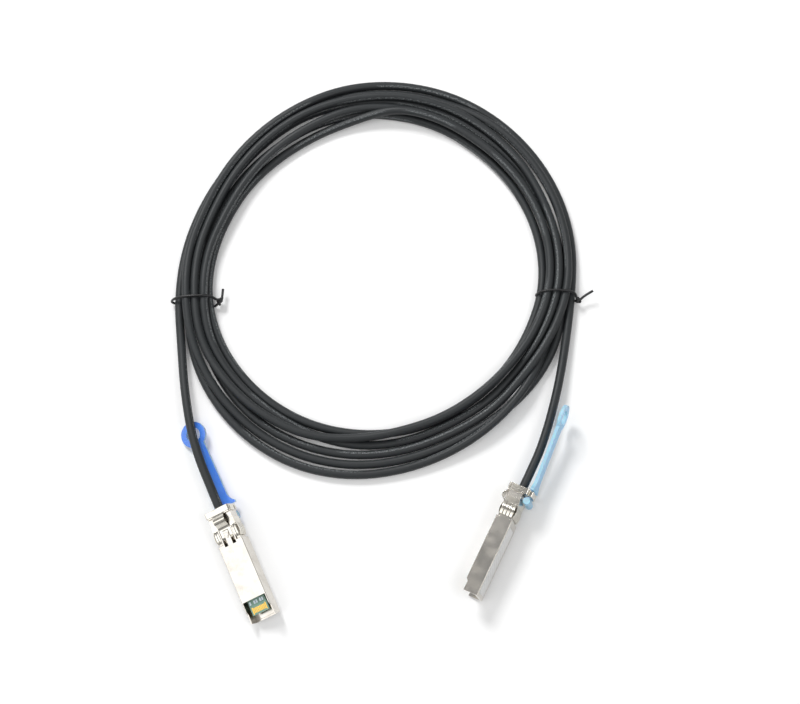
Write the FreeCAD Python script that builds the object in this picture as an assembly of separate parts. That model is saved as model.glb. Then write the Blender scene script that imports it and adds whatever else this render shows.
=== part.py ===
"""Direct attach copper cable: a coil of black twinax cable with a small form-factor
pluggable plug on each end.

Each plug is drawn once, in its own frame, and placed twice. Plug frame: x runs along the
plug from its mouth (x = 0, the end that enters the cage) towards the cable, z points to
the label side, and y points across. Millimetres throughout.

The whole part lies on a table at z = 0, with its origin midway between the two plugs.
"""
import FreeCAD, Part

import math
import os

V = FreeCAD.Vector

# ---- cable ------------------------------------------------------------------------
CABLE_D = 4.4           # over the jacket
CABLE_FIT = 0.05        # radial room round the jacket in the plug
CORE_D = 1.7            # one shielded pair
CORE_SPREAD = 1.05      # each pair from the middle, in the jacket
CORE_SPREAD_BOARD = 2.0 # each pair from the middle, on the board
CORE_LAP = 2.5          # each pair on the board
CORE_BEND = 3.5         # where each pair turns down, behind the board

# ---- plug outline (the part that enters the cage) ------------------------------------
BODY_W = 13.4
BODY_H = 8.5
BODY_EDGE_R = 0.35
SHOULDER_X = 45.0       # latch shoulder, from the mouth
STOP_GAP = 2.5          # latch shoulder to the end of the part that enters the cage
NOTCH_X = 10.6          # length of the open bottom over the board's contacts
MOUTH_CHAMFER_X = 4.7   # where the side walls step back near the mouth
MOUTH_CHAMFER = 1.2
WALL = 0.6              # side walls
FLOOR_T = 0.8
LID_T = 0.8
LID_FIT = 0.05
LIP_X = 0.7             # skirt inside the mouth, on the lid
LIP_T = 0.6
LEDGE_W = 0.5           # ledges the lid lies on
LEDGE_T = 0.6

# ---- recess under the spring fingers -----------------------------------------------------
RECESS_L = 7.5
CAVITY_SETBACK = 1.5    # end of the wide cavity, ahead of the recess
RECESS_WALL = 0.8
SIDE_ROOM = 0.4         # recess inside the neck's sides, where the side fingers lie
TOP_ROOM = 0.1
BOTTOM_ROOM = 0.15

# ---- latch boss and the cavity for the latch tines --------------------------------------
BOSS_L = 2.6
BOSS_W = 2.6
BOSS_H = 0.45
LAND_W = 2.7
LAND_PAST = 1.3         # land, past the shoulder
TINE_CAVITY_W = 6.3
TINE_CAVITY_D = 1.7
TINE_CAVITY_AHEAD = 6.2 # cavity, ahead of the shoulder
TINE_CAVITY_PAST = 5.0  # cavity, past the shoulder

# ---- neck and nose (the part that stays outside the cage) -----------------------------------
NECK_BOTTOM = -3.6
NECK_TOP = 3.35
NECK_L = 6.7
NOSE_L = 3.6            # the wider end, which the yoke slides on
NOSE_W = 12.4
NOSE_BOTTOM = -4.75
NOSE_TOP = 4.9
NOSE_EDGE_R = 0.5
CABLE_Z = 0.4           # cable axis above the middle of the plug
NOSE_END_WALL = 0.9     # wall that the cable passes, outside the ferrule's pocket
RIVET_D = 1.0
RIVET_SETBACK = 0.75    # from the nose's end
RIVET_Y = 4.6

# ---- spring collar ----------------------------------------------------------------------
COLLAR_T = 0.25
COLLAR_L = 3.4
COLLAR_GAP = 0.2        # band to tine cavity, each side
FINGER_L = 6.2
FINGER_BOW = 0.65
FINGER_TUCK = 0.0
SIDE_FINGERS = 4
SIDE_PITCH = 1.75
SIDE_FINGER_W = 1.35
TOP_FINGERS = 6
TOP_PITCH = 2.05
TOP_FINGER_W = 1.6
BOTTOM_FINGER_Y = (4.35, 5.55)
BOTTOM_FINGER_W = 0.95

# ---- board ----------------------------------------------------------------------------
BOARD_T = 1.0
BOARD_W = 9.2
BOARD_X0 = 3.2          # leading edge, from the mouth
BOARD_END_ROOM = 2.5    # behind the board, in the wide cavity
BOARD_UNDER = 2.25      # board's open face above the plug's bottom
RAIL_PAST = 0.8         # rails start this far past the notch
RAIL_IN = 0.6           # how far each rail reaches under the board
RAIL_LIP = 0.8
PADS = 10
PAD_PITCH = 0.8
PAD_W = 0.54
PAD_T = 0.05
PAD_L = 2.6
PAD_L_LONG = 3.4        # ground pads, which mate first
PAD_SETBACK = 0.45
CAP = (1.6, 0.8, 0.5)
CAP_AHEAD = 2.3         # ahead of the notch's end
CAP_Y = (-3.5, -1.15, 0.1, 2.1, 3.3)
CHIP = (4.0, 4.0, 0.9)
CHIP_X = 18.0

# ---- ferrule ----------------------------------------------------------------------------
FERRULE_D = 5.2
FERRULE_L = 2.4
FERRULE_FIT = 0.05

# ---- latch yoke ---------------------------------------------------------------------------
SHEET_T = 0.4
YOKE_FIT = 0.05
YOKE_SETBACK = 0.2      # yoke at rest, from the nose's end
YOKE_L = 2.7            # at the folded edges
YOKE_BULGE = 0.6        # more than that in the middle of the sides
YOKE_EDGE_R = 0.8
TRAVEL = 2.0
TINE_W = 1.45
TINE_REACH = 3.1        # tine tips, ahead of the shoulder
TINE_Z = -3.8
TINE_RAMP_L = 1.3
TINE_RAMP_H = 0.85
SPLIT_PAST = 1.6        # where the leaf splits into tines, past the shoulder
HUMP_PAST = 0.7         # where the leaf starts to rise, past the split
HUMP_LAP = 0.5          # leaf on the yoke's bottom plate
HUMP_H = 2.6
HUMP_STEPS = 14
LUG_D = 1.0
LUG_SETBACK = 0.8       # from the nose's end
LUG_Z = (-3.5, 2.2)
LUG_FIT = 0.05
LOOP_W = 8.6
LOOP_H = 2.15           # above the yoke's top plate

# ---- pull tab -----------------------------------------------------------------------------
TAB_T = 1.6
TAB_Z = 6.22
TAB_NECK_T = 0.9
TAB_NECK_W = 6.0
STRAP_W = 7.2
FLARE_W = 12.4
FLARE_GAP = 0.6         # nose's end to the flare
FLARE_SQUARE = 1.0      # its straight part
FLARE_L = 5.1           # its curved part
STRAP_L = 40.3          # flare to the middle of the ring
RING_D = 13.2
RING_HOLE = 7.4
BULB_R = 1.75
BULB_AHEAD = 2.05       # ahead of the nose
BULB_Z = 5.9
BULB_W = 10.0

# ---- label --------------------------------------------------------------------------------
LABEL_X0 = 2.0
LABEL_SETBACK = 3.0     # from the recess
LABEL_W = 10.8
LABEL_T = 0.1
LABEL_FIT = 0.1

# ---- how the plugs lie: mouth position, heading, nose lift, roll, strap set -------------------
PLUGS = {
    "plug_a": dict(at=(-52.4, -50.6, 6.12), heading=114.3, lift=2.75, roll=160.9,
                   sag=2.45, sway=-1.6, shift=0.85, cant=0.0),
    "plug_b": dict(at=(46.9, -39.7, 7.44), heading=64.0, lift=0.4, roll=75.6,
                   sag=-2.9, sway=3.5, shift=-0.2, cant=0.0),
}

# ---- coil and ties --------------------------------------------------------------------------
COIL_AT = (0.3, 126.8)
COIL_R = 94.6
COIL_W = 20.8
COIL_H = 8.4
TIE_D = 1.1
TIE_FIT = 0.05
TIE_ANGLES = {"twist_tie_a": (188.5, -1), "twist_tie_b": (353.0, 1)}
TIE_KNOT_D = 2.0
TIE_KNOT_L = 4.6
TIE_BEND_R = 1.0        # where the wire turns under the bundle

# ---- tails: places passed between each plug and the coil ------------------------------------
JACKET_IN = 3.2         # jacket end, inside the nose
CORE_STRAIGHT = 6.0     # pairs run straight this far before they turn to the board
LEAD_L = 8.2            # straight run out of the plug
TAILS = {
    "tail_a": [(-91.2, 33.8, 8.5), (-96.7, 60.8, 6.5), (-99.2, 87.8, 4.4), (-99.8, 110.8, 3.8)],
    "tail_b": [(83.2, 34.6, 7.0), (91.4, 60.3, 5.4), (97.4, 86.8, 3.9), (99.4, 110.3, 3.6)],
}


# ---- places along the plug that follow from these sizes ----------------------------------------
STOP_X = SHOULDER_X + STOP_GAP
RECESS_X = STOP_X - RECESS_L
CAVITY_X = RECESS_X - CAVITY_SETBACK
NOSE_X = STOP_X + NECK_L
PLUG_L = NOSE_X + NOSE_L
BOARD_X1 = CAVITY_X - BOARD_END_ROOM
BOARD_BOTTOM = -BODY_H / 2 + BOARD_UNDER
RAIL_X0 = NOTCH_X + RAIL_PAST
YOKE_X1 = PLUG_L - YOKE_SETBACK
YOKE_X0 = YOKE_X1 - YOKE_L
LUG_X = PLUG_L - LUG_SETBACK
RIVET_X = PLUG_L - RIVET_SETBACK
BULB_X = NOSE_X - BULB_AHEAD
FLARE_X0 = PLUG_L + FLARE_GAP
RING_X = FLARE_X0 + STRAP_L
TAIL_START = PLUG_L - JACKET_IN


# ---- drawing helpers ------------------------------------------------------------------------
def box(x0, x1, y0, y1, z0, z1):
    return Part.makeBox(x1 - x0, y1 - y0, z1 - z0, V(x0, y0, z0))


def wide_box(x0, x1, width, z0, z1):
    """Box centred on the plug's middle plane."""
    return box(x0, x1, -width / 2, width / 2, z0, z1)


def rounded_bar(x0, x1, width, z0, z1, radius):
    """Centred bar along x with its four long edges rounded."""
    bar = wide_box(x0, x1, width, z0, z1)
    long_edges = [e for e in bar.Edges if abs(e.tangentAt(e.FirstParameter).x) > 0.9]
    return bar.makeFillet(radius, long_edges)


def rod_x(x0, x1, diameter, y=0.0, z=0.0):
    return Part.makeCylinder(diameter / 2, x1 - x0, V(x0, y, z), V(1, 0, 0))


def rod_y(y0, y1, diameter, x, z):
    return Part.makeCylinder(diameter / 2, y1 - y0, V(x, y0, z), V(0, 1, 0))


def slab(points, y0, y1):
    """Outline of (x, z) points, pulled from y0 to y1."""
    corners = [V(x, y0, z) for x, z in points]
    face = Part.Face(Part.makePolygon(corners + corners[:1]))
    return face.extrude(V(0, y1 - y0, 0))


def bent_sheet(line, thickness, y0, y1):
    """Sheet of even thickness that follows a bent centre line of (x, z) points."""
    points = [V(x, 0, z) for x, z in line]
    runs = [(b - a).normalize() for a, b in zip(points, points[1:])]
    outer, inner = [], []
    for i, point in enumerate(points):
        before = runs[max(i - 1, 0)]
        after = runs[min(i, len(runs) - 1)]
        across = V(-before.z - after.z, 0, before.x + after.x).normalize()
        reach = thickness / 2 / (across.x * -after.z + across.z * after.x)
        outer.append((point.x + across.x * reach, point.z + across.z * reach))
        inner.append((point.x - across.x * reach, point.z - across.z * reach))
    return slab(outer + inner[::-1], y0, y1)


def fused(shapes):
    whole = shapes[0]
    for shape in shapes[1:]:
        whole = whole.fuse(shape)
    return whole.removeSplitter()


def both_sides(shape):
    """The shape and its mirror image across the plug's middle plane."""
    return [shape, shape.mirror(V(0, 0, 0), V(0, 1, 0))]


def tube_along(points, diameter, bends=None):
    """Round tube through straight runs joined by tangent arcs, as large as the runs allow
    unless the bends are given; returns it with its route and radii."""
    points = [V(*p) for p in points]
    edges, radii, start = [], [], points[0]
    for i, (before, corner, after) in enumerate(zip(points, points[1:], points[2:])):
        back = before - corner
        ahead = after - corner
        turn = math.pi - back.getAngle(ahead)
        radius = 0.45 * min(back.Length, ahead.Length) / math.tan(turn / 2)
        if bends:
            radius = bends[i]
        cut = radius * math.tan(turn / 2)
        back.normalize()
        ahead.normalize()
        enter = corner + back * cut
        leave = corner + ahead * cut
        middle = (back + ahead).normalize()
        mid = corner + middle * (radius / math.cos(turn / 2) - radius)
        edges.append(Part.LineSegment(start, enter).toShape())
        edges.append(Part.Arc(enter, mid, leave).toShape())
        radii.append(radius)
        start = leave
    edges.append(Part.LineSegment(start, points[-1]).toShape())
    route = Part.Wire(edges)
    ring = Part.makeCircle(diameter / 2, points[0], points[1] - points[0])
    return route.makePipeShell([Part.Wire(ring)], True, False), route, radii


# ---- plug pieces, in the plug's own frame ------------------------------------------------------
HALF_H = BODY_H / 2
FLOOR_TOP = -HALF_H + FLOOR_T
LID_UNDER = HALF_H - LID_T
CAVITY_W = BODY_W - 2 * WALL
RECESSED_W = NOSE_W - 2 * SIDE_ROOM
INNER_W = RECESSED_W - 2 * RECESS_WALL      # cavity between the recessed walls
RECESS_TOP = NECK_TOP - TOP_ROOM
RECESS_BOTTOM = NECK_BOTTOM + BOTTOM_ROOM
CORE_FLOOR = BOARD_BOTTOM                   # floor over the tine cavity
TINE_ROOF = -HALF_H + TINE_CAVITY_D
POCKET_X1 = PLUG_L - NOSE_END_WALL
POCKET_X0 = POCKET_X1 - FERRULE_L - 2 * FERRULE_FIT
PASSAGE_W = 6.4


def cable_passage():
    """Everything the cable fills or needs inside the nose, as one cutting body."""
    hole = rod_x(STOP_X, PLUG_L + 1, CABLE_D + 2 * CABLE_FIT, z=CABLE_Z)
    pocket = rod_x(POCKET_X0, POCKET_X1, FERRULE_D + 2 * FERRULE_FIT, z=CABLE_Z)
    throat = wide_box(SHOULDER_X, POCKET_X0, PASSAGE_W, CABLE_Z - CABLE_D / 2, RECESS_TOP - LID_T)
    return fused([hole, pocket, throat])


def rivet_holes():
    hole = Part.makeCylinder(RIVET_D / 2, NOSE_TOP - NOSE_BOTTOM + 2, V(RIVET_X, RIVET_Y, NOSE_BOTTOM - 1))
    return fused(both_sides(hole))


def guide_lugs(height):
    """Round lugs on the nose's sides that guide the yoke and stop it."""
    return both_sides(rod_y(NOSE_W / 2 - 0.3, NOSE_W / 2 + YOKE_FIT + SHEET_T, LUG_D, LUG_X, height))


def base():
    """Die-cast lower housing: tray, board rails, latch boss and the lower nose."""
    tray = rounded_bar(0, STOP_X, BODY_W, -HALF_H, HALF_H, BODY_EDGE_R)
    tray = tray.cut(wide_box(-1, CAVITY_X, CAVITY_W, FLOOR_TOP, HALF_H + 1))
    tray = tray.cut(wide_box(-1, RECESS_X, CAVITY_W, LID_UNDER, HALF_H + 1))
    tray = tray.cut(wide_box(CAVITY_X - 1, STOP_X + 1, INNER_W, CORE_FLOOR, HALF_H + 1))
    tray = tray.cut(wide_box(-1, NOTCH_X, CAVITY_W, -HALF_H - 1, FLOOR_TOP + 0.1))
    step = -HALF_H + MOUTH_CHAMFER
    low = -HALF_H - 1
    corner = [(-1, low), (MOUTH_CHAMFER_X + MOUTH_CHAMFER, low),
              (MOUTH_CHAMFER_X + MOUTH_CHAMFER, -HALF_H), (MOUTH_CHAMFER_X, step), (-1, step)]
    tray = tray.cut(slab(corner, -BODY_W, BODY_W))

    # recess for the spring fingers: sides, top edges, and the bottom beside the tine cavity
    land_w = TINE_CAVITY_W + 2 * WALL
    around = wide_box(RECESS_X, STOP_X, BODY_W + 2, -HALF_H - 1, HALF_H + 1)
    around = around.cut(wide_box(RECESS_X - 1, STOP_X + 1, RECESSED_W, RECESS_BOTTOM, RECESS_TOP))
    around = around.cut(wide_box(RECESS_X - 1, STOP_X + 1, land_w, -HALF_H - 2, 0))
    tray = tray.cut(around)

    rails = []
    rail_inner = BOARD_W / 2 - RAIL_IN
    rails += both_sides(box(RAIL_X0, CAVITY_X, rail_inner, CAVITY_W / 2, FLOOR_TOP, BOARD_BOTTOM))
    rails += both_sides(box(RAIL_X0, CAVITY_X, BOARD_W / 2 + LID_FIT, CAVITY_W / 2,
                            BOARD_BOTTOM, BOARD_BOTTOM + RAIL_LIP))
    rails += both_sides(box(RAIL_X0, CAVITY_X, CAVITY_W / 2 - LEDGE_W, CAVITY_W / 2,
                            LID_UNDER - LEDGE_T, LID_UNDER))

    neck = wide_box(STOP_X, NOSE_X, NOSE_W, NECK_BOTTOM, CABLE_Z)
    nose = rounded_bar(NOSE_X, PLUG_L, NOSE_W, NOSE_BOTTOM, NOSE_TOP, NOSE_EDGE_R)
    nose = nose.cut(wide_box(NOSE_X - 1, PLUG_L + 1, NOSE_W + 1, CABLE_Z, NOSE_TOP + 1))
    body = fused([tray] + rails + [neck, nose])

    # cavity for the latch tines, with a 45 degree entry, and the land that carries the boss
    front = SHOULDER_X - TINE_CAVITY_AHEAD
    rear = SHOULDER_X + TINE_CAVITY_PAST
    tine_cavity = [(front, -HALF_H), (front + TINE_CAVITY_D, TINE_ROOF),
                   (rear, TINE_ROOF), (rear, low), (front, low)]
    body = body.cut(slab(tine_cavity, -TINE_CAVITY_W / 2, TINE_CAVITY_W / 2))
    land = wide_box(front, SHOULDER_X + LAND_PAST, LAND_W, -HALF_H, TINE_ROOF + 0.1)
    boss_plan = [V(SHOULDER_X - BOSS_L, 0, -HALF_H + 0.1), V(SHOULDER_X, -BOSS_W / 2, -HALF_H + 0.1),
                 V(SHOULDER_X, BOSS_W / 2, -HALF_H + 0.1)]
    boss = Part.Face(Part.makePolygon(boss_plan + boss_plan[:1])).extrude(V(0, 0, -BOSS_H - 0.1))
    body = body.cut(cable_passage()).cut(rivet_holes())
    return fused([body, land, boss] + guide_lugs(LUG_Z[0]))


def cover():
    """Die-cast upper housing: lid with its board ribs, label bed and the upper nose."""
    lid = wide_box(0, RECESS_X, CAVITY_W - 2 * LID_FIT, LID_UNDER, HALF_H)
    lip = wide_box(0, LIP_X, CAVITY_W - 2 * LID_FIT, LID_UNDER - LIP_T, LID_UNDER)
    joggle = wide_box(CAVITY_X + 0.4, RECESS_X, INNER_W - 2 * LID_FIT, RECESS_TOP - LID_T, LID_UNDER)
    plate = wide_box(RECESS_X, STOP_X, INNER_W - 2 * LID_FIT, RECESS_TOP - LID_T, RECESS_TOP)
    ribs = both_sides(box(RAIL_X0, BOARD_X1 - 2, BOARD_W / 2 - RAIL_IN, BOARD_W / 2 - 0.05,
                          BOARD_BOTTOM + BOARD_T, LID_UNDER))
    neck = wide_box(STOP_X, NOSE_X, NOSE_W, CABLE_Z, NECK_TOP)
    nose = rounded_bar(NOSE_X, PLUG_L, NOSE_W, NOSE_BOTTOM, NOSE_TOP, NOSE_EDGE_R)
    nose = nose.cut(wide_box(NOSE_X - 1, PLUG_L + 1, NOSE_W + 1, NOSE_BOTTOM - 1, CABLE_Z))
    slope_x = NOSE_X + TRAVEL + 0.1         # lets the pull tab's bulb travel
    slope = [(NOSE_X - 1, NECK_TOP), (slope_x + NECK_TOP - NOSE_TOP, NECK_TOP), (slope_x, NOSE_TOP),
             (slope_x, NOSE_TOP + 1), (NOSE_X - 1, NOSE_TOP + 1)]
    nose = nose.cut(slab(slope, -NOSE_W, NOSE_W))
    body = fused([lid, lip, joggle, plate] + ribs + [neck, nose] + guide_lugs(LUG_Z[1]))
    label_bed = wide_box(LABEL_X0 - LABEL_FIT, RECESS_X - LABEL_SETBACK + LABEL_FIT, LABEL_W + 2 * LABEL_FIT,
                         HALF_H - LABEL_T - 0.02, HALF_H + 1)
    return body.cut(label_bed).cut(cable_passage()).cut(rivet_holes())


def finger(width):
    """One bowed spring finger, lying on the plane z = 0 and bowing to +z."""
    tip = STOP_X - FINGER_L
    top = (V(STOP_X + 0.2, 0, COLLAR_T), V(STOP_X - FINGER_L * 0.42, 0, COLLAR_T + FINGER_BOW),
           V(tip, 0, COLLAR_T - FINGER_TUCK))
    drop = V(0, 0, -COLLAR_T)
    low = [p + drop for p in top]
    outline = Part.Wire([Part.Arc(*top).toShape(), Part.LineSegment(top[2], low[2]).toShape(),
                         Part.Arc(low[2], low[1], low[0]).toShape(),
                         Part.LineSegment(low[0], top[0]).toShape()])
    leaf = Part.Face(outline).extrude(V(0, width, 0))
    leaf.translate(V(0, -width / 2, 0))
    return leaf


def spring_collar():
    """Stamped collar with spring fingers all round; its bottom is open for the tines."""
    band = wide_box(STOP_X, STOP_X + COLLAR_L, NOSE_W + 2 * COLLAR_T,
                    NECK_BOTTOM - COLLAR_T, NECK_TOP + COLLAR_T)
    band = band.cut(wide_box(STOP_X - 1, NOSE_X, NOSE_W, NECK_BOTTOM, NECK_TOP))
    opening = TINE_CAVITY_W + 2 * COLLAR_GAP
    band = band.cut(wide_box(STOP_X - 1, NOSE_X + 1, opening, -HALF_H * 2, 0))
    leaves = []
    for i in range(TOP_FINGERS):
        leaf = finger(TOP_FINGER_W)
        leaf.translate(V(0, (i - (TOP_FINGERS - 1) / 2) * TOP_PITCH, NECK_TOP))
        leaves.append(leaf)
    for i in range(SIDE_FINGERS):
        leaf = finger(SIDE_FINGER_W)
        leaf.rotate(V(0, 0, 0), V(1, 0, 0), -90)
        level = (NECK_TOP + NECK_BOTTOM) / 2 + (i - (SIDE_FINGERS - 1) / 2) * SIDE_PITCH
        leaf.translate(V(0, NOSE_W / 2, level))
        leaves += both_sides(leaf)
    for across in BOTTOM_FINGER_Y:
        leaf = finger(BOTTOM_FINGER_W)
        leaf.rotate(V(0, 0, 0), V(1, 0, 0), 180)
        leaf.translate(V(0, across, NECK_BOTTOM))
        leaves += both_sides(leaf)
    return fused([band] + leaves)


def board():
    return wide_box(BOARD_X0, BOARD_X1, BOARD_W, BOARD_BOTTOM, BOARD_BOTTOM + BOARD_T)


def contact_pads():
    """Ten gold pads on each face of the board; the outer ones are longer."""
    pads = []
    for i in range(PADS):
        y = (i - (PADS - 1) / 2) * PAD_PITCH
        length = PAD_L_LONG if i in (0, PADS - 1) else PAD_L
        x0 = BOARD_X0 + PAD_SETBACK + (PAD_L_LONG - length) / 2
        for z0 in (BOARD_BOTTOM - PAD_T, BOARD_BOTTOM + BOARD_T):
            pads.append(box(x0, x0 + length, y - PAD_W / 2, y + PAD_W / 2, z0, z0 + PAD_T))
    return Part.Compound(pads)


def capacitors():
    """Small block parts between the contacts and the housing, on the open face."""
    length, width, height = CAP
    x0 = NOTCH_X - CAP_AHEAD
    return Part.Compound([box(x0, x0 + length, y - width / 2, y + width / 2,
                              BOARD_BOTTOM - height, BOARD_BOTTOM) for y in CAP_Y])


def memory_chip():
    length, width, height = CHIP
    top = BOARD_BOTTOM + BOARD_T
    return wide_box(CHIP_X, CHIP_X + length, width, top, top + height)


def twinax_cores():
    """The two shielded pairs, from the jacket's end down onto the board."""
    cores = []
    on_board = BOARD_BOTTOM + BOARD_T + CORE_D / 2
    for side in (-1, 1):
        points = [(TAIL_START - 0.1, side * CORE_SPREAD, CABLE_Z),
                  (TAIL_START - CORE_STRAIGHT, side * CORE_SPREAD, CABLE_Z),
                  (BOARD_X1 + CORE_BEND, side * CORE_SPREAD_BOARD, on_board),
                  (BOARD_X1 - CORE_LAP, side * CORE_SPREAD_BOARD, on_board)]
        cores.append(tube_along(points, CORE_D)[0])
    return Part.Compound(cores)


def crimp_ferrule():
    x0 = POCKET_X0 + FERRULE_FIT
    ring = rod_x(x0, x0 + FERRULE_L, FERRULE_D, z=CABLE_Z)
    return ring.cut(rod_x(x0 - 1, x0 + FERRULE_L + 1, CABLE_D + 2 * CABLE_FIT, z=CABLE_Z))


def rivets():
    pin = Part.makeCylinder(RIVET_D / 2, NOSE_TOP - NOSE_BOTTOM, V(RIVET_X, RIVET_Y, NOSE_BOTTOM))
    return Part.Compound(both_sides(pin))


def label():
    bed = HALF_H - LABEL_T - 0.02
    return wide_box(LABEL_X0, RECESS_X - LABEL_SETBACK, LABEL_W, bed, bed + LABEL_T)


def latch_yoke():
    """Folded spring-steel slider: band round the nose, sprung neck, two tines, tab loop."""
    inner_w = NOSE_W + 2 * YOKE_FIT
    inner_z0 = NOSE_BOTTOM - YOKE_FIT
    inner_z1 = NOSE_TOP + YOKE_FIT
    outer_z0 = inner_z0 - SHEET_T
    outer_z1 = inner_z1 + SHEET_T
    blank_x0 = YOKE_X0 - 2 * YOKE_BULGE
    band = rounded_bar(blank_x0, YOKE_X1, inner_w + 2 * SHEET_T, outer_z0, outer_z1, YOKE_EDGE_R)
    band = band.cut(rounded_bar(blank_x0 - 1, YOKE_X1 + 1, inner_w, inner_z0, inner_z1,
                                YOKE_EDGE_R - SHEET_T))
    low = V(YOKE_X0, 0, outer_z0)
    high = V(YOKE_X0, 0, outer_z1)
    far = V(blank_x0 - 1, 0, outer_z1)
    near = V(blank_x0 - 1, 0, outer_z0)
    waste = Part.Wire([Part.Arc(low, V(YOKE_X0 - YOKE_BULGE, 0, 0), high).toShape(),
                       Part.LineSegment(high, far).toShape(),
                       Part.LineSegment(far, near).toShape(),
                       Part.LineSegment(near, low).toShape()])
    waste = Part.Face(waste).extrude(V(0, BODY_W * 2, 0))
    waste.translate(V(0, -BODY_W, 0))
    band = band.cut(waste)
    slot_d = LUG_D + 2 * LUG_FIT
    for height in LUG_Z:
        slot = wide_box(LUG_X - TRAVEL, LUG_X, BODY_W * 2, height - slot_d / 2, height + slot_d / 2)
        ends = [rod_y(-BODY_W, BODY_W, slot_d, x, height) for x in (LUG_X - TRAVEL, LUG_X)]
        band = band.cut(fused([slot] + ends))

    plate_z = outer_z0 + SHEET_T / 2
    tine_outer = TINE_CAVITY_W / 2 - 0.2
    split = SHOULDER_X + SPLIT_PAST
    hump_x0 = split + HUMP_PAST
    hump_l = YOKE_X0 + HUMP_LAP - hump_x0
    hump = [(split, TINE_Z)]
    for i in range(HUMP_STEPS + 1):
        part = i / HUMP_STEPS
        rise = HUMP_H * (1 - math.cos(2 * math.pi * part)) / 2
        hump.append((hump_x0 + hump_l * part, TINE_Z + (plate_z - TINE_Z) * part - rise))
    neck = bent_sheet(hump, SHEET_T, -tine_outer, tine_outer)
    tip = SHOULDER_X - TINE_REACH
    tine_line = [(tip, TINE_Z - TINE_RAMP_H), (tip + TINE_RAMP_L, TINE_Z), (split + SHEET_T / 2, TINE_Z)]
    tines = both_sides(bent_sheet(tine_line, SHEET_T, tine_outer - TINE_W, tine_outer))

    loop_top = outer_z1 + LOOP_H
    loop = rounded_bar(YOKE_X0, YOKE_X1, LOOP_W, inner_z1, loop_top, YOKE_EDGE_R)
    loop = loop.cut(rounded_bar(YOKE_X0 - 1, YOKE_X1 + 1, LOOP_W - 2 * SHEET_T, outer_z1,
                                loop_top - SHEET_T, YOKE_EDGE_R - SHEET_T))
    return fused([band, neck] + tines + [loop])


def pull_tab(sag, sway, shift, cant):
    """Moulded tab: bulb and neck held in the yoke's loop, strap and finger ring."""
    z0 = TAB_Z - TAB_T / 2
    bulb = rod_y(-BULB_W / 2, BULB_W / 2, 2 * BULB_R, BULB_X, BULB_Z)
    neck_z0 = TAB_Z - TAB_NECK_T / 2
    neck_z1 = TAB_Z + TAB_NECK_T / 2
    wedge = slab([(BULB_X + 0.55, BULB_Z - BULB_R + 0.1), (NOSE_X, neck_z0), (NOSE_X, neck_z1),
                  (BULB_X + 0.4, BULB_Z + BULB_R - 0.06)], -BULB_W / 2, BULB_W / 2)
    neck = wide_box(NOSE_X - 0.5, FLARE_X0 + 0.3, TAB_NECK_W, neck_z0, neck_z1)

    def edge(side):
        wide = side * FLARE_W / 2
        narrow = side * STRAP_W / 2
        corner = V(FLARE_X0 + FLARE_SQUARE, wide, z0)
        middle = corner + V(FLARE_L * 0.35, (narrow - wide) * 0.65, 0)
        end = V(corner.x + FLARE_L, narrow, z0)
        return [Part.LineSegment(V(FLARE_X0, wide, z0), corner).toShape(),
                Part.Arc(corner, middle, end).toShape(),
                Part.LineSegment(end, V(RING_X, narrow, z0)).toShape()]

    ends = [Part.LineSegment(V(x, -w / 2, z0), V(x, w / 2, z0)).toShape()
            for x, w in ((FLARE_X0, FLARE_W), (RING_X, STRAP_W))]
    outline = Part.Wire(Part.__sortEdges__(edge(1) + edge(-1) + ends))
    strap = Part.Face(outline).extrude(V(0, 0, TAB_T))
    ring = Part.makeCylinder(RING_D / 2, TAB_T, V(RING_X, 0, z0))
    strap = strap.fuse(ring).cut(Part.makeCylinder(RING_HOLE / 2, TAB_T + 2, V(RING_X, 0, z0 - 1)))
    strap = strap.removeSplitter()
    root = V(FLARE_X0, 0, TAB_Z)
    strap.rotate(root, V(0, 1, 0), -sag)
    strap.rotate(root, V(0, 0, 1), sway)
    tab = fused([bulb, wedge, neck, strap])
    tab.rotate(root, V(1, 0, 0), cant)
    tab.translate(V(0, shift, 0))
    return tab


# ---- the whole part ----------------------------------------------------------------------------
def plug_placement(lie):
    turn = FreeCAD.Rotation(V(0, 0, 1), lie["heading"])
    turn = turn.multiply(FreeCAD.Rotation(V(0, 1, 0), -lie["lift"]))
    turn = turn.multiply(FreeCAD.Rotation(V(1, 0, 0), lie["roll"]))
    return FreeCAD.Placement(V(*lie["at"]), turn)


def place_on_coil(shape, angle):
    """Turn a shape drawn on the x axis to its place round the coil."""
    shape.rotate(V(0, 0, 0), V(0, 0, 1), angle)
    shape.translate(V(COIL_AT[0], COIL_AT[1], 0))
    return shape


def along_y(edge, z_from, z_to):
    return abs(edge.tangentAt(edge.FirstParameter).y) > 0.9 and z_from < edge.CenterOfMass.z < z_to


def coil():
    """Outer shape of the bundled turns: a flat ring, grooved where the ties pass under it."""
    half = COIL_W / 2
    section = Part.makeBox(COIL_W, 1, COIL_H, V(COIL_R - half, 0, 0))
    section = section.makeFillet(CABLE_D / 2, [e for e in section.Edges if along_y(e, -1, COIL_H + 1)])
    face = min(section.Faces, key=lambda f: f.CenterOfMass.y)
    ring = place_on_coil(face.revolve(V(0, 0, 0), V(0, 0, 1), 360), 0)
    for angle, _ in TIE_ANGLES.values():
        groove = wide_box(COIL_R - COIL_W, COIL_R + COIL_W, TIE_D + 2 * TIE_FIT, -1, TIE_D + TIE_FIT)
        ring = ring.cut(place_on_coil(groove, angle))
    return ring


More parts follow.
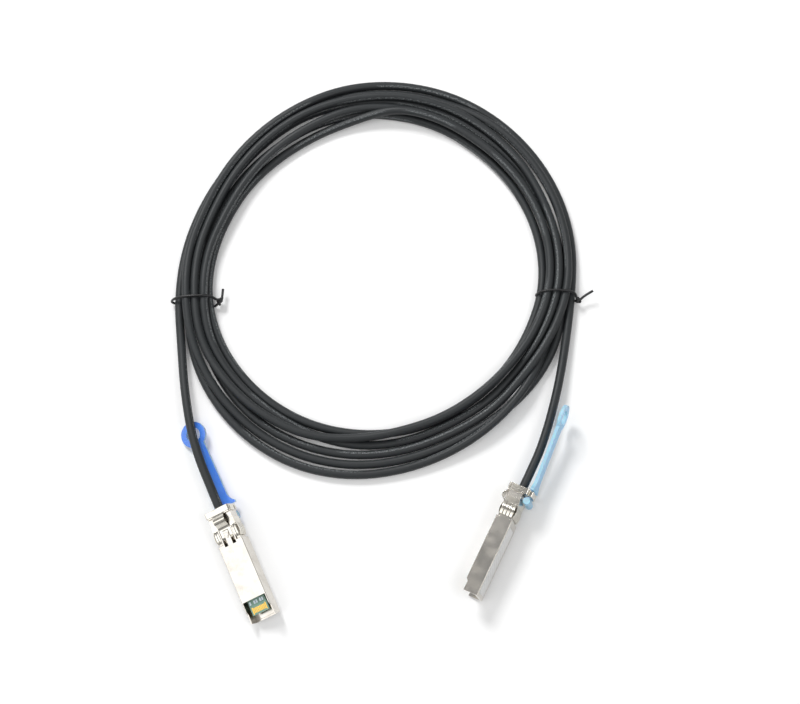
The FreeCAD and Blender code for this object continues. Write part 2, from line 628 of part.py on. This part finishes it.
def twist_tie(angle, side):
    """Coated wire round the bundle, with its ends twisted together on one side (1 out, -1 in)."""
    gap = TIE_FIT + TIE_D / 2
    near = COIL_R + side * (COIL_W / 2 + gap)
    far = COIL_R - side * (COIL_W / 2 + gap)
    middle = COIL_H / 2
    top = COIL_H + gap
    points = [(near, 0, middle + TIE_D / 4), (near, 0, top), (far, 0, top), (far, 0, TIE_D / 2),
              (near, 0, TIE_D / 2), (near, 0, middle - TIE_D / 4)]
    round_top = CABLE_D / 2 + gap
    loop = tube_along(points, TIE_D, [round_top, round_top, TIE_BEND_R, TIE_BEND_R])[0]
    knot_at = V(near - side * TIE_D / 4, 0, middle)
    knot = Part.makeCylinder(TIE_KNOT_D / 2, TIE_KNOT_L, knot_at, V(side, 0, 0))
    return place_on_coil(fused([loop, knot]), angle)


def tail(name, placement, coil_solid):
    """Loose cable from inside the plug to the coil, trimmed where it joins the bundle."""
    lead = [placement.multVec(V(x, 0, CABLE_Z)) for x in (TAIL_START, PLUG_L + LEAD_L)]
    points = [tuple(p) for p in lead] + TAILS[name]
    tube, route, radii = tube_along(points, CABLE_D)
    section = math.pi * CABLE_D ** 2 / 4
    print(name, "radii", [round(r, 1) for r in radii], "volume ratio",
          round(tube.Volume / (section * route.Length), 4), "length", round(route.Length, 1))
    return tube.cut(coil_solid)


def plug_pieces(lie):
    return {
        "base": base(), "cover": cover(), "spring_collar": spring_collar(),
        "latch_yoke": latch_yoke(), "pull_tab": pull_tab(lie["sag"], lie["sway"], lie["shift"], lie["cant"]),
        "board": board(), "contact_pads": contact_pads(), "capacitors": capacitors(),
        "memory_chip": memory_chip(), "twinax_cores": twinax_cores(),
        "crimp_ferrule": crimp_ferrule(), "rivets": rivets(), "label": label(),
    }


def build():
    nodes = {"coil": coil()}
    for name, lie in PLUGS.items():
        placement = plug_placement(lie)
        for piece, shape in plug_pieces(lie).items():
            shape.Placement = placement.multiply(shape.Placement)
            nodes[f"{name}_{piece}"] = shape
        tail_name = name.replace("plug", "tail")
        nodes[tail_name] = tail(tail_name, placement, nodes["coil"])
    for name, (angle, side) in TIE_ANGLES.items():
        nodes[name] = twist_tie(angle, side)
    return nodes


os.makedirs("parts", exist_ok=True)
for node, shape in build().items():
    shape.exportStep(f"parts/{node}.step")
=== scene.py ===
from math import cos, radians, sin, sqrt

import bpy
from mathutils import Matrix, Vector


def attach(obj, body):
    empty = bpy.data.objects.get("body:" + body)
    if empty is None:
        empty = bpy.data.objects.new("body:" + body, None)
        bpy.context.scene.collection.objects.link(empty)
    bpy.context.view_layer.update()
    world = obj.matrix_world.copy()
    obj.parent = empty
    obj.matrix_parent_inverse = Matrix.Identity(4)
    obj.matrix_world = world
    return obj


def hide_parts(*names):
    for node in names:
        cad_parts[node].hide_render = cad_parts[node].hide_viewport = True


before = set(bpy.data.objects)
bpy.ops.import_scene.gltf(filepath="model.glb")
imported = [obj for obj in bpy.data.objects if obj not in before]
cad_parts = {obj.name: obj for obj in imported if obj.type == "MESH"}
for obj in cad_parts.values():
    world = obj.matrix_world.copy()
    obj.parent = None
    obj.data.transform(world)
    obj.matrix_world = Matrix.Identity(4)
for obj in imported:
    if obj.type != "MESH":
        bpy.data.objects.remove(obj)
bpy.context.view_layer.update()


def mm(x, y, z):
    """A point given in millimetres, in metres."""
    return Vector((x, y, z)) / 1000


# ---------------------------------------------------------------- camera

CAMERA_AT = mm(12.3, -127.4, 716.2)
LOOKS_AT = mm(12.3, 84.8, 0)

camera_data = bpy.data.cameras.new("camera")
camera_data.lens = 65.7
camera_data.sensor_width = 36
camera_data.clip_end = 20
camera = bpy.data.objects.new("camera", camera_data)
camera.location = CAMERA_AT
camera.rotation_euler = (LOOKS_AT - CAMERA_AT).to_track_quat("-Z", "Y").to_euler()
bpy.context.collection.objects.link(camera)
bpy.context.scene.camera = camera


# ---------------------------------------------------------------- cable

CABLE_D = 4.4
CABLE_LENGTH = 4.1            # metres, for the spacing of the print
COIL_AT = (0.3, 126.8)
STEP = 15                     # degrees between the points of a turn
FIRST_ANGLE = 188.5           # where the turns begin and end, at the left tie
SPREAD = 1.0086               # a spline through points 15 degrees apart lies this much inside them

# How far each turn lies from the coil's centre at each step: over the far side, through the right
# tie, and back along the near side. The last turn leaves at the right tie.
TURNS = (
    (102.3, 99.9, 98.1, 97.8, 99.1, 101.8, 101.4, 102.2, 102.8, 103.3, 102.2, 100.9,
     99.6, 98.0, 95.2, 92.8, 93.1, 92.9, 94.8, 97.0, 98.3, 98.8, 97.4, 95.3),
    (92.4, 90.6, 88.7, 88.3, 88.2, 89.8, 90.6, 89.4, 88.6, 86.9, 86.4, 86.2,
     86.1, 85.6, 83.9, 83.4, 83.4, 84.1, 85.2, 86.0, 86.9, 87.5, 87.9, 88.3),
    (87.7, 85.7, 83.7, 83.1, 82.5, 83.6, 86.3, 91.2, 90.6, 88.9, 89.2, 90.1,
     89.9, 88.9, 86.4, 84.1, 83.5, 84.2, 85.5, 88.9, 93.5, 95.0, 96.0, 96.7),
    (94.1, 93.0, 91.1, 92.2, 94.2, 96.7, 98.0, 99.4, 99.8, 98.3, 96.6, 94.8,
     94.6, 93.4, 90.6, 88.3, 88.2, 88.4, 90.4, 92.0, 91.4, 91.4, 91.9, 92.3),
    (89.7, 87.6, 84.6, 85.2, 86.6, 88.6, 92.1, 93.3, 92.6, 91.0, 90.4, 90.8,
     91.1, 91.2, 94.4, 96.9, 99.3, 101.4, 104.1, 107.3, 109.0, 108.3, 106.0, 102.6),
    (97.1, 95.2, 93.5, 93.2, 94.5, 96.9, 96.9, 97.7, 97.0, 94.9, 94.7, 95.4,
     95.7, 95.7, 99.0, 99.0, 97.6, 97.2, 99.4, 102.1, 103.5, 103.5, 102.6, 101.2),
    (98.5, 97.6, 95.7, 96.9, 98.9, 101.5, 105.3, 107.3, 107.7, 106.8, 105.4, 104.0,
     102.3, 100.2),
)
RIGHT_TIE = 13                # the step that lies in the right tie
TIE_LIFT = 1.3                # the turns lie on the tie's wire there

# Which turns lie under which, up to these steps. Turns that change places are side by side there.
LAID_IN_ORDER = (
    (6, (0, 5, 1, 2, 6, 3, 4)),
    (8, (6, 0, 5, 1, 4, 3, 2)),
    (13, (6, 5, 1, 4, 0, 3, 2)),
    (19, (1, 5, 4, 3, 2, 0)),
    (23, (1, 4, 0, 5, 3, 2)),
)

FROM_PLUG_A = [
    (-74.73, -0.82, 8.36),
    (-79.42, 9.55, 8.91),
    (-90.0, 33.8, 8.6),
    (-95.9, 60.8, 6.6),
    (-99.3, 87.8, 3.2),
]
TO_PLUG_B = [
    (96.6, 86.8, 3.2),
    (91.1, 60.3, 5.4),
    (83.3, 34.6, 7.0),
    (76.18, 19.45, 8.0),
    (71.18, 9.2, 7.92),
]


def turn_heights(step):
    """Height of each turn at one step round the coil, each laid on those that are there."""
    order = next(order for last, order in LAID_IN_ORDER if step <= last)
    lift = TIE_LIFT if step in (0, RIGHT_TIE) else 0
    laid = {}
    for turn in order:
        height = CABLE_D / 2
        for other, other_height in laid.items():
            apart = abs(TURNS[turn][step] - TURNS[other][step])
            if apart < CABLE_D:
                height = max(height, other_height + sqrt(CABLE_D ** 2 - apart ** 2))
        laid[turn] = height
    return {turn: height + lift for turn, height in laid.items()}


def coil_points():
    """The points of all the turns, from the left tie to the right one."""
    points = []
    for turn, places in enumerate(TURNS):
        for step, radius in enumerate(places):
            angle = radians(FIRST_ANGLE - STEP * step)
            points.append((COIL_AT[0] + radius * SPREAD * cos(angle),
                           COIL_AT[1] + radius * SPREAD * sin(angle), turn_heights(step)[turn]))
    return points


def wire(name, points, diameter, round_steps=4, along_steps=6):
    """A round wire whose line is one open spline with these control points, in millimetres.
    Returns the tube and the points of its line."""
    data = bpy.data.curves.new(name, "CURVE")
    data.dimensions = "3D"
    data.resolution_u = along_steps
    data.use_fill_caps = True
    spline = data.splines.new("NURBS")
    spline.points.add(len(points) - 1)
    for point, place in zip(spline.points, points):
        point.co = (*mm(*place), 1)
    spline.order_u = 3
    spline.use_endpoint_u = True
    line = bpy.data.objects.new(name + "_line", data)
    route = [vertex.co.copy() for vertex in bpy.data.meshes.new_from_object(line).vertices]
    data.bevel_depth = diameter / 2000
    data.bevel_resolution = round_steps
    tube = bpy.data.objects.new(name, bpy.data.meshes.new_from_object(line))
    bpy.data.objects.remove(line)
    bpy.context.collection.objects.link(tube)
    for polygon in tube.data.polygons:
        polygon.use_smooth = True
    return tube, route


cable, cable_route = wire("cable_run", FROM_PLUG_A + coil_points() + TO_PLUG_B, CABLE_D)
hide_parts("coil", "tail_a", "tail_b")
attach(cable, "cable")


# ---------------------------------------------------------------- twist ties

TIE_D = 1.3
TIE_A = [
    (-78.9, 117.4, 4.2), (-79.0, 115.2, 4.0), (-79.2, 113.2, 4.3), (-79.0, 111.8, 5.0),
    (-79.6, 110.6, 5.2), (-80.9, 110.0, 4.6), (-81.6, 110.9, 3.9), (-80.6, 112.0, 3.6),
    (-79.3, 112.3, 4.4), (-79.6, 111.6, 5.6), (-81.2, 111.0, 5.8), (-82.4, 111.4, 5.9),
    (-83.7, 111.9, 7.6), (-86.2, 112.2, 9.2), (-89.8, 112.1, 9.9), (-94.6, 111.9, 9.9),
    (-99.4, 111.6, 9.2), (-102.6, 111.3, 7.6), (-104.6, 111.0, 5.2), (-105.3, 110.8, 2.9),
    (-103.6, 110.5, 0.75), (-97.0, 109.9, 0.7), (-90.0, 109.2, 0.7), (-84.8, 108.8, 0.75),
    (-82.6, 108.9, 1.9), (-81.2, 109.9, 3.2), (-79.9, 110.4, 3.9), (-79.2, 111.5, 3.4),
    (-80.3, 112.3, 2.9), (-81.5, 111.4, 2.9), (-80.9, 110.0, 2.6), (-80.2, 109.2, 2.9),
]
TIE_B = [
    (111.4, 115.7, 6.4), (108.6, 114.3, 5.4), (106.0, 112.6, 4.6), (104.5, 111.2, 4.0),
    (103.5, 110.5, 4.8), (102.9, 111.6, 5.6), (103.7, 112.5, 5.2), (104.4, 111.4, 4.6),
    (103.5, 110.9, 6.0), (102.8, 112.2, 6.4), (102.2, 113.6, 7.2), (101.2, 114.2, 8.5),
    (98.8, 114.6, 9.6), (94.6, 115.0, 9.9), (89.8, 115.1, 9.8), (86.0, 114.9, 8.9),
    (83.4, 114.6, 6.6), (82.1, 114.4, 3.2), (83.6, 114.1, 0.75), (90.0, 113.6, 0.7),
    (96.6, 113.0, 0.7), (101.0, 112.4, 0.75), (103.1, 111.6, 2.0), (104.2, 110.8, 3.2),
    (105.0, 110.3, 4.2), (104.6, 111.3, 5.2), (103.4, 111.6, 4.2), (103.5, 110.2, 3.4),
]

ties = []
for tie_name, node_name, points in (
        ("tie_wire_a", "twist_tie_a", TIE_A),
        ("tie_wire_b", "twist_tie_b", TIE_B)):
    tie = wire(tie_name, points, TIE_D, along_steps=8)[0]
    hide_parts(node_name)
    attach(tie, "cable")
    ties.append(tie)


# ---------------------------------------------------------------- nodes of a material

COLOUR, VALUE, VECTOR = "NodeSocketColor", "NodeSocketFloat", "NodeSocketVector"


def set_or_link(tree, socket, value):
    """Gives an input a plain value, or the output that feeds it."""
    if isinstance(value, bpy.types.NodeSocket):
        tree.links.new(value, socket)
    else:
        socket.default_value = value


def add(tree, kind, values=None, **settings):
    """A node with its settings, and its inputs set to values or linked to outputs."""
    made = tree.nodes.new(kind)
    for name, value in settings.items():
        setattr(made, name, value)
    for name, value in (values or {}).items():
        set_or_link(tree, made.inputs[name], value)
    return made


def blend_colours(tree, share, first, second):
    """The first colour, with this share of the second over it."""
    made = add(tree, "ShaderNodeMix", {0: share, 6: first, 7: second}, data_type="RGBA")
    return made.outputs[2]


def sums(tree, operation, first, second=0.0, clamp=False):
    """One step of arithmetic."""
    made = add(tree, "ShaderNodeMath", {0: first, 1: second}, operation=operation, use_clamp=clamp)
    return made.outputs[0]


def times(tree, first, second):
    return sums(tree, "MULTIPLY", first, second)


def plus(tree, first, second, clamp=False):
    return sums(tree, "ADD", first, second, clamp)


def ranged(tree, value, low, high, to_low=0.0, to_high=1.0):
    """A value that goes from to_low to to_high as the given one goes from low to high."""
    made = add(tree, "ShaderNodeMapRange", {
        "Value": value, "From Min": low, "From Max": high, "To Min": to_low, "To Max": to_high})
    return made.outputs["Result"]


def noise(tree, where, scale, detail=3.0, rough=0.5):
    made = add(tree, "ShaderNodeTexNoise", {
        "Vector": where, "Scale": scale, "Detail": detail, "Roughness": rough})
    return made.outputs[0]


def shade(tree, distance, dark, light, **settings):
    """1 deep in a hollow and 0 on an open face, by how much lies round a point up to a distance."""
    made = add(tree, "ShaderNodeAmbientOcclusion", {"Distance": distance}, samples=8, **settings)
    return ranged(tree, made.outputs["AO"], dark, light, 1.0, 0.0)


def places(tree):
    """Where a point is on its own piece."""
    return add(tree, "ShaderNodeTexCoord").outputs["Object"]


# ---------------------------------------------------------------- surfaces that finishes share

def new_group(name, inputs):
    """A shared surface with these inputs: its tree and its two ends."""
    tree = bpy.data.node_groups.new(name, "ShaderNodeTree")
    for socket_name, kind, value in inputs:
        socket = tree.interface.new_socket(socket_name, in_out="INPUT", socket_type=kind)
        socket.default_value = value
    for socket_name, kind in (("Colour", COLOUR), ("Roughness", VALUE), ("Normal", VECTOR)):
        tree.interface.new_socket(socket_name, in_out="OUTPUT", socket_type=kind)
    return tree, tree.nodes.new("NodeGroupInput").outputs, tree.nodes.new("NodeGroupOutput").inputs


# Painted shade: the dark brown that deep hollows in metal are blended toward.
HOLLOW_SHADE_BROWN = (0.16, 0.12, 0.06, 1)
RELIEF_DEPTH = 0.00008


def metal_group():
    """Bare metal: patches of duller tone, fine grain, faint scratches, painted shade that darkens its
    crevices, and, where asked, painted dark brown shade deep in its recesses.
    """
    tree, given, put_out = new_group("metal surface", [
        ("Colour", COLOUR, (0.7, 0.68, 0.65, 1)),
        ("Dull and crevice shade colour", COLOUR, (0.4, 0.38, 0.35, 1)),
        ("Roughness", VALUE, 0.3),
        ("Grain", VALUE, 900.0),
        ("Relief", VALUE, 0.1),
        ("Scratches", VALUE, 0.3),
        ("Hollow shade", VALUE, 0.0),
    ])
    where = places(tree)
    patches = ranged(tree, noise(tree, where, 160.0, 4.0, 0.6), 0.42, 0.72, 0.0, 0.55)
    grain = noise(tree, where, given["Grain"], 3.0, 0.6)

    drawn_out = add(tree, "ShaderNodeMapping", {
        "Vector": where, "Rotation": (0.2, 0.1, radians(64)), "Scale": (180.0, 4200.0, 2600.0)})
    scratches = ranged(tree, noise(tree, drawn_out.outputs["Vector"], 1.0, 2.0, 0.5), 0.6, 0.72)
    scratches = times(tree, scratches, given["Scratches"])

    # Painted shade: crevices found by the occlusion test go halfway to the second, duller colour,
    # together with the random duller patches.
    dull_and_crevice_shade = plus(tree, patches, times(tree, shade(tree, 0.0012, 0.25, 0.85), 0.5), clamp=True)
    worn = blend_colours(tree, dull_and_crevice_shade, given["Colour"], given["Dull and crevice shade colour"])
    # Painted shade: deep hollows of a piece are blended toward a dark brown, as shade inside them would
    # look.
    hollow = times(tree, shade(tree, 0.007, 0.3, 0.75, only_local=True), given["Hollow shade"])
    tree.links.new(blend_colours(tree, hollow, worn, HOLLOW_SHADE_BROWN), put_out["Colour"])

    rough = plus(tree, given["Roughness"], times(tree, dull_and_crevice_shade, 0.12))
    rough = plus(tree, rough, times(tree, scratches, 0.15), clamp=True)
    tree.links.new(rough, put_out["Roughness"])

    height = plus(tree, times(tree, grain, 0.6), times(tree, scratches, -0.4))
    rounded = add(tree, "ShaderNodeBevel", {"Radius": 0.00012}, samples=4)
    bump = add(tree, "ShaderNodeBump", {
        "Height": height, "Strength": given["Relief"], "Distance": RELIEF_DEPTH,
        "Normal": rounded.outputs["Normal"]})
    tree.links.new(bump.outputs["Normal"], put_out["Normal"])
    return tree


def plastic_group():
    """Moulded or extruded plastic: slight tone changes, satin grain and handling marks."""
    tree, given, put_out = new_group("plastic surface", [
        ("Colour", COLOUR, (0.1, 0.3, 0.9, 1)),
        ("Worn colour", COLOUR, (0.3, 0.5, 0.9, 1)),
        ("Roughness", VALUE, 0.4),
        ("Grain", VALUE, 1200.0),
        ("Relief", VALUE, 0.1),
        ("Marks", VALUE, 0.2),
    ])
    where = places(tree)
    cloud = noise(tree, where, 90.0, 3.0, 0.55)
    grain = noise(tree, where, given["Grain"], 3.0, 0.6)
    marks = times(tree, ranged(tree, noise(tree, where, 420.0, 5.0, 0.65), 0.56, 0.74), given["Marks"])

    tone = plus(tree, marks, ranged(tree, cloud, 0.35, 0.7, 0.0, 0.18), clamp=True)
    tree.links.new(blend_colours(tree, tone, given["Colour"], given["Worn colour"]), put_out["Colour"])

    rough = plus(tree, given["Roughness"], times(tree, marks, 0.5))
    rough = plus(tree, rough, ranged(tree, cloud, 0.3, 0.7, -0.04, 0.04), clamp=True)
    tree.links.new(rough, put_out["Roughness"])

    bump = add(tree, "ShaderNodeBump", {
        "Height": grain, "Strength": given["Relief"], "Distance": RELIEF_DEPTH})
    tree.links.new(bump.outputs["Normal"], put_out["Normal"])
    return tree


METAL = metal_group()
PLASTIC = plastic_group()


def finish(name, group, values, shader_values):
    """A material of one shared surface and a Principled shader."""
    material = bpy.data.materials.new(name)
    material.use_nodes = True
    tree = material.node_tree
    tree.nodes.clear()
    surface = add(tree, "ShaderNodeGroup", node_tree=group, name="surface")
    for socket_name, value in values.items():
        surface.inputs[socket_name].default_value = value
    shader = add(tree, "ShaderNodeBsdfPrincipled", {
        "Base Color": surface.outputs["Colour"],
        "Roughness": surface.outputs["Roughness"],
        "Normal": surface.outputs["Normal"],
        **shader_values}, name="shader")
    add(tree, "ShaderNodeOutputMaterial", {"Surface": shader.outputs["BSDF"]}, name="output")
    return material


def metal(name, colour, dull_and_crevice_shade, rough, grain=900.0, relief=0.12, scratches=0.3, hollow_shade=0.0):
    return finish(name, METAL, {
        "Colour": (*colour, 1), "Dull and crevice shade colour": (*dull_and_crevice_shade, 1), "Roughness": rough, "Grain": grain,
        "Relief": relief, "Scratches": scratches, "Hollow shade": hollow_shade}, {"Metallic": 1.0})


def plastic(name, colour, worn, rough, grain=1200.0, relief=0.12, marks=0.2, **shader_values):
    return finish(name, PLASTIC, {
        "Colour": (*colour, 1), "Worn colour": (*worn, 1), "Roughness": rough, "Grain": grain,
        "Relief": relief, "Marks": marks},
        {name.replace("_", " "): value for name, value in shader_values.items()})


def print_over(material, share, ink):
    """Lays a colour over the surface's own, as strongly as share says."""
    tree = material.node_tree
    own = tree.nodes["surface"].outputs["Colour"]
    tree.links.new(blend_colours(tree, share, own, ink), tree.nodes["shader"].inputs["Base Color"])


def give(material, *names):
    """Puts a finish on the pieces with these names, on both plugs."""
    for name in names:
        for plug in ("a", "b"):
            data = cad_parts["plug_%s_%s" % (plug, name)].data
            data.materials.clear()
            data.materials.append(material)


# ---------------------------------------------------------------- finishes of the plugs

# The second colour of each metal is its duller tone, and also the colour of the painted shade in its
# crevices.
NICKEL, NICKEL_DULL_AND_SHADE = (0.72, 0.69, 0.64), (0.5, 0.46, 0.4)
SPRING, SPRING_DULL_AND_SHADE = (0.78, 0.75, 0.68), (0.55, 0.51, 0.43)
GOLD, GOLD_DULL_AND_SHADE = (1.0, 0.6, 0.1), (0.8, 0.42, 0.06)
STEEL, STEEL_DULL_AND_SHADE = (0.62, 0.6, 0.57), (0.4, 0.37, 0.33)
FOIL, FOIL_DULL_AND_SHADE = (0.78, 0.78, 0.8), (0.5, 0.5, 0.52)

# The cast body and cover also get painted dark brown shade in their hollows.
give(metal("nickel casting", NICKEL, NICKEL_DULL_AND_SHADE, 0.18, 700.0, 0.1, hollow_shade=0.85), "base", "cover")
give(metal("spring steel", SPRING, SPRING_DULL_AND_SHADE, 0.16, 1600.0, 0.06), "spring_collar", "latch_yoke")
give(metal("gold plating", GOLD, GOLD_DULL_AND_SHADE, 0.25, 1500.0, 0.08), "contact_pads")
give(metal("ferrule steel", STEEL, STEEL_DULL_AND_SHADE, 0.35), "crimp_ferrule", "rivets")
give(metal("pair foil", FOIL, FOIL_DULL_AND_SHADE, 0.28, 2200.0, 0.7, 0.6), "twinax_cores")
give(plastic("ceramic block", (0.72, 0.83, 0.9), (0.88, 0.93, 0.96), 0.35), "capacitors")
give(plastic("chip epoxy", (0.015, 0.015, 0.017), (0.05, 0.05, 0.05), 0.45), "memory_chip")


def board_finish():
    """Solder mask over copper: lighter where tracks run under it, fine woven grain between."""
    material = plastic("circuit board", (0.13, 0.27, 0.2), (0.24, 0.38, 0.31), 0.3, 900.0, 0.2)
    tree = material.node_tree
    tracks = add(tree, "ShaderNodeTexBrick", {
        "Vector": places(tree), "Scale": 900.0, "Mortar Size": 0.03,
        "Color1": (0, 0, 0, 1), "Color2": (0.3, 0.3, 0.3, 1), "Mortar": (1, 1, 1, 1)})
    print_over(material, times(tree, tracks.outputs["Color"], 0.6), (0.36, 0.52, 0.43, 1))
    return material


def label_finish():
    """White film with rows of small grey print that says nothing."""
    material = plastic("label film", (0.86, 0.86, 0.85), (0.76, 0.76, 0.74), 0.35, 500.0, 0.05)
    tree = material.node_tree
    where = places(tree)
    rows = add(tree, "ShaderNodeTexWave", {"Vector": where, "Scale": 300.0}, bands_direction="X")
    specks = ranged(tree, noise(tree, where, 2600.0, 2.0), 0.52, 0.56)
    ink = times(tree, specks, ranged(tree, rows.outputs["Fac"], 0.45, 0.6))
    print_over(material, times(tree, ink, 0.55), (0.1, 0.1, 0.1, 1))
    return material


# The direction square to each tab's flat faces.
TAB_A_ACROSS = (-0.3, -0.14, 0.945)
TAB_B_ACROSS = (0.87, -0.424, 0.25)
TAB_B_PAINTED_GLOW = 0.75             # the second plug's tab stands on its narrow side, so it is painted pale all over, as light through it would make it look


def tab_finish():
    """Blue moulding that lets light through; its edges, and the whole of the second plug's tab, are
    painted pale, as light passing through would make them look.
    """
    material = plastic(
        "blue plastic", (0.075, 0.25, 0.86), (0.17, 0.38, 0.92), 0.32, 1400.0, 0.08, 0.15,
        Subsurface_Weight=0.2, Subsurface_Scale=0.0012, Coat_Weight=0.4)
    tree = material.node_tree
    side = add(tree, "ShaderNodeSeparateXYZ", {"Vector": places(tree)})
    on_plug_b = ranged(tree, side.outputs["X"], -0.001, 0.001)
    across = add(tree, "ShaderNodeMix", {0: on_plug_b, 4: TAB_A_ACROSS, 5: TAB_B_ACROSS},
                 data_type="VECTOR")
    facing = add(tree, "ShaderNodeVectorMath", {
        0: add(tree, "ShaderNodeNewGeometry").outputs["Normal"], 1: across.outputs[1]},
        operation="DOT_PRODUCT")
    # Painted light: faces seen edgewise are painted a pale glow, and the whole of the second plug's tab
    # too, as light through the moulding would show.
    painted_glow = ranged(tree, sums(tree, "ABSOLUTE", facing.outputs["Value"]), 0.35, 0.9, 1.0, 0.0)
    painted_glow = sums(tree, "MAXIMUM", painted_glow, times(tree, on_plug_b, TAB_B_PAINTED_GLOW))
    print_over(material, painted_glow, (0.62, 0.92, 1.0, 1))

    through = add(tree, "ShaderNodeBsdfTranslucent", {"Color": (0.5, 0.82, 1.0, 1)})
    both = add(tree, "ShaderNodeMixShader", {
        0: times(tree, painted_glow, 0.45), 1: tree.nodes["shader"].outputs["BSDF"], 2: through.outputs["BSDF"]})
    tree.links.new(both.outputs["Shader"], tree.nodes["output"].inputs["Surface"])
    return material


give(board_finish(), "board")
give(label_finish(), "label")
give(tab_finish(), "pull_tab")


# ---------------------------------------------------------------- finishes of the cable and ties

PRINT_AT = 0.3                # where the print lies round the jacket, in shares of a turn
PRINT_AT_PLUG_B = 0.8         # and where it has turned to on the last tail
LAST_TAIL = (0.95, 0.975)     # shares of the cable's length
PRINT_WANDERS = 0.09
STROKES_PER_METRE = 1100
WORDS_PER_METRE = 24


def jacket_finish():
    """Extruded black jacket with a line of small worn print along it, repeated all the way."""
    material = plastic(
        "cable jacket", (0.022, 0.025, 0.027), (0.042, 0.046, 0.049), 0.5, 2600.0, 0.2, 0.12,
        Specular_IOR_Level=0.4)
    tree = material.node_tree
    place = add(tree, "ShaderNodeSeparateXYZ", {"Vector": add(tree, "ShaderNodeUVMap").outputs["UV"]})
    along, around = place.outputs["X"], place.outputs["Y"]

    wander = times(tree, sums(tree, "SINE", times(tree, along, 31.0)), PRINT_WANDERS)
    middle = plus(tree, wander, ranged(tree, along, *LAST_TAIL, PRINT_AT, PRINT_AT_PLUG_B))
    off_middle = sums(tree, "ABSOLUTE", sums(tree, "SUBTRACT", around, middle))
    line = ranged(tree, off_middle, 0.032, 0.045, 1.0, 0.0)

    stroke_place = add(tree, "ShaderNodeCombineXYZ", {
        "X": times(tree, along, CABLE_LENGTH * STROKES_PER_METRE), "Y": times(tree, around, 55.0)})
    strokes = ranged(tree, noise(tree, stroke_place.outputs["Vector"], 1.0, 1.0), 0.5, 0.58)
    word_place = add(tree, "ShaderNodeCombineXYZ", {
        "X": times(tree, along, CABLE_LENGTH * WORDS_PER_METRE)})
    words = ranged(tree, noise(tree, word_place.outputs["Vector"], 1.0, 0.0), 0.44, 0.48)
    ink = times(tree, times(tree, line, strokes), words)
    print_over(material, times(tree, ink, 0.42), (0.42, 0.45, 0.46, 1))
    return material


cable.data.materials.append(jacket_finish())
tie_coat = plastic("tie plastic", (0.01, 0.01, 0.011), (0.03, 0.03, 0.032), 0.4, 2600.0, 0.15, 0.15)
for tie in ties:
    tie.data.materials.append(tie_coat)


# ---------------------------------------------------------------- floor and light

FLOOR_SIZE = 6
FLOOR_LIFT = 0.06
KEY_AT, KEY_SIZE, KEY_POWER = (-0.56, 1.04, 1.07), 0.5, 15
FILL_AT, FILL_SIZE, FILL_POWER = (0.9, -0.3, 1.5), 1.0, 6
SKY_POWER = 0.55
WALL_TONE = (0.4, 0.85)       # at the foot and overhead
CARD_TOWARD, CARD_TONE = (-0.62, -0.19, 0.76), 2.2
FLAG_TOWARD, FLAG_TONE = (-0.37, 0.35, 0.86), 0.3


def looked_at(tree):
    """1 on rays from the camera and in reflections, 0 on the rays that light the object."""
    paths = add(tree, "ShaderNodeLightPath").outputs
    mirrored = sums(tree, "MAXIMUM", paths["Is Glossy Ray"], paths["Is Transmission Ray"])
    return sums(tree, "MAXIMUM", paths["Is Camera Ray"], mirrored)


def floor_paint():
    """White paint, lifted a little where it is looked at, so that the open floor is white."""
    material = plastic("floor paint", (0.93, 0.93, 0.93), (0.91, 0.91, 0.91), 0.75, 300.0, 0.02, 0.05)
    tree = material.node_tree
    lift = add(tree, "ShaderNodeEmission", {"Strength": times(tree, looked_at(tree), FLOOR_LIFT)})
    both = add(tree, "ShaderNodeAddShader", {
        0: tree.nodes["shader"].outputs["BSDF"], 1: lift.outputs["Emission"]})
    tree.links.new(both.outputs["Shader"], tree.nodes["output"].inputs["Surface"])
    return material


def lay_floor():
    bpy.ops.mesh.primitive_plane_add(size=FLOOR_SIZE)
    floor = bpy.context.object
    floor.name = "floor"
    floor.data.materials.append(floor_paint())


def lamp(name, place, size, power):
    """A round soft lamp that points at the middle of the part."""
    data = bpy.data.lights.new(name, "AREA")
    data.shape = "DISK"
    data.size = size
    data.energy = power
    light = bpy.data.objects.new(name, data)
    light.location = place
    light.rotation_euler = (Vector((0, 0.1, 0)) - light.location).to_track_quat("-Z", "Y").to_euler()
    bpy.context.collection.objects.link(light)


def studio():
    """Pale walls all round, with a bright card to one side and a dark flag behind it."""
    world = bpy.data.worlds.new("room")
    bpy.context.scene.world = world
    world.use_nodes = True
    room = world.node_tree
    room.nodes.clear()
    direction = add(room, "ShaderNodeTexCoord").outputs["Generated"]

    def toward(place, near, far):
        """How nearly a direction points at this place, from 0 at far to 1 at near."""
        dot = add(room, "ShaderNodeVectorMath", {0: direction, 1: Vector(place).normalized()},
                  operation="DOT_PRODUCT")
        return ranged(room, dot.outputs["Value"], far, near)

    up = add(room, "ShaderNodeSeparateXYZ", {"Vector": direction}).outputs["Z"]
    wall = ranged(room, up, 0.1, 0.7, *WALL_TONE)
    card = times(room, toward(CARD_TOWARD, 0.93, 0.86), CARD_TONE)
    flag = ranged(room, toward(FLAG_TOWARD, 0.95, 0.88), 0.0, 1.0, 1.0, FLAG_TONE)
    tone = times(room, plus(room, times(room, wall, flag), card), SKY_POWER)
    seen_by_camera = add(room, "ShaderNodeLightPath").outputs["Is Camera Ray"]
    sky = add(room, "ShaderNodeBackground", {
        "Color": blend_colours(room, seen_by_camera, tone, (1, 1, 1, 1)), "Strength": 1.0})
    add(room, "ShaderNodeOutputWorld", {"Surface": sky.outputs["Background"]})


lay_floor()
lamp("key", KEY_AT, KEY_SIZE, KEY_POWER)
lamp("fill", FILL_AT, FILL_SIZE, FILL_POWER)
studio()
bpy.context.scene.view_settings.view_transform = "Standard"
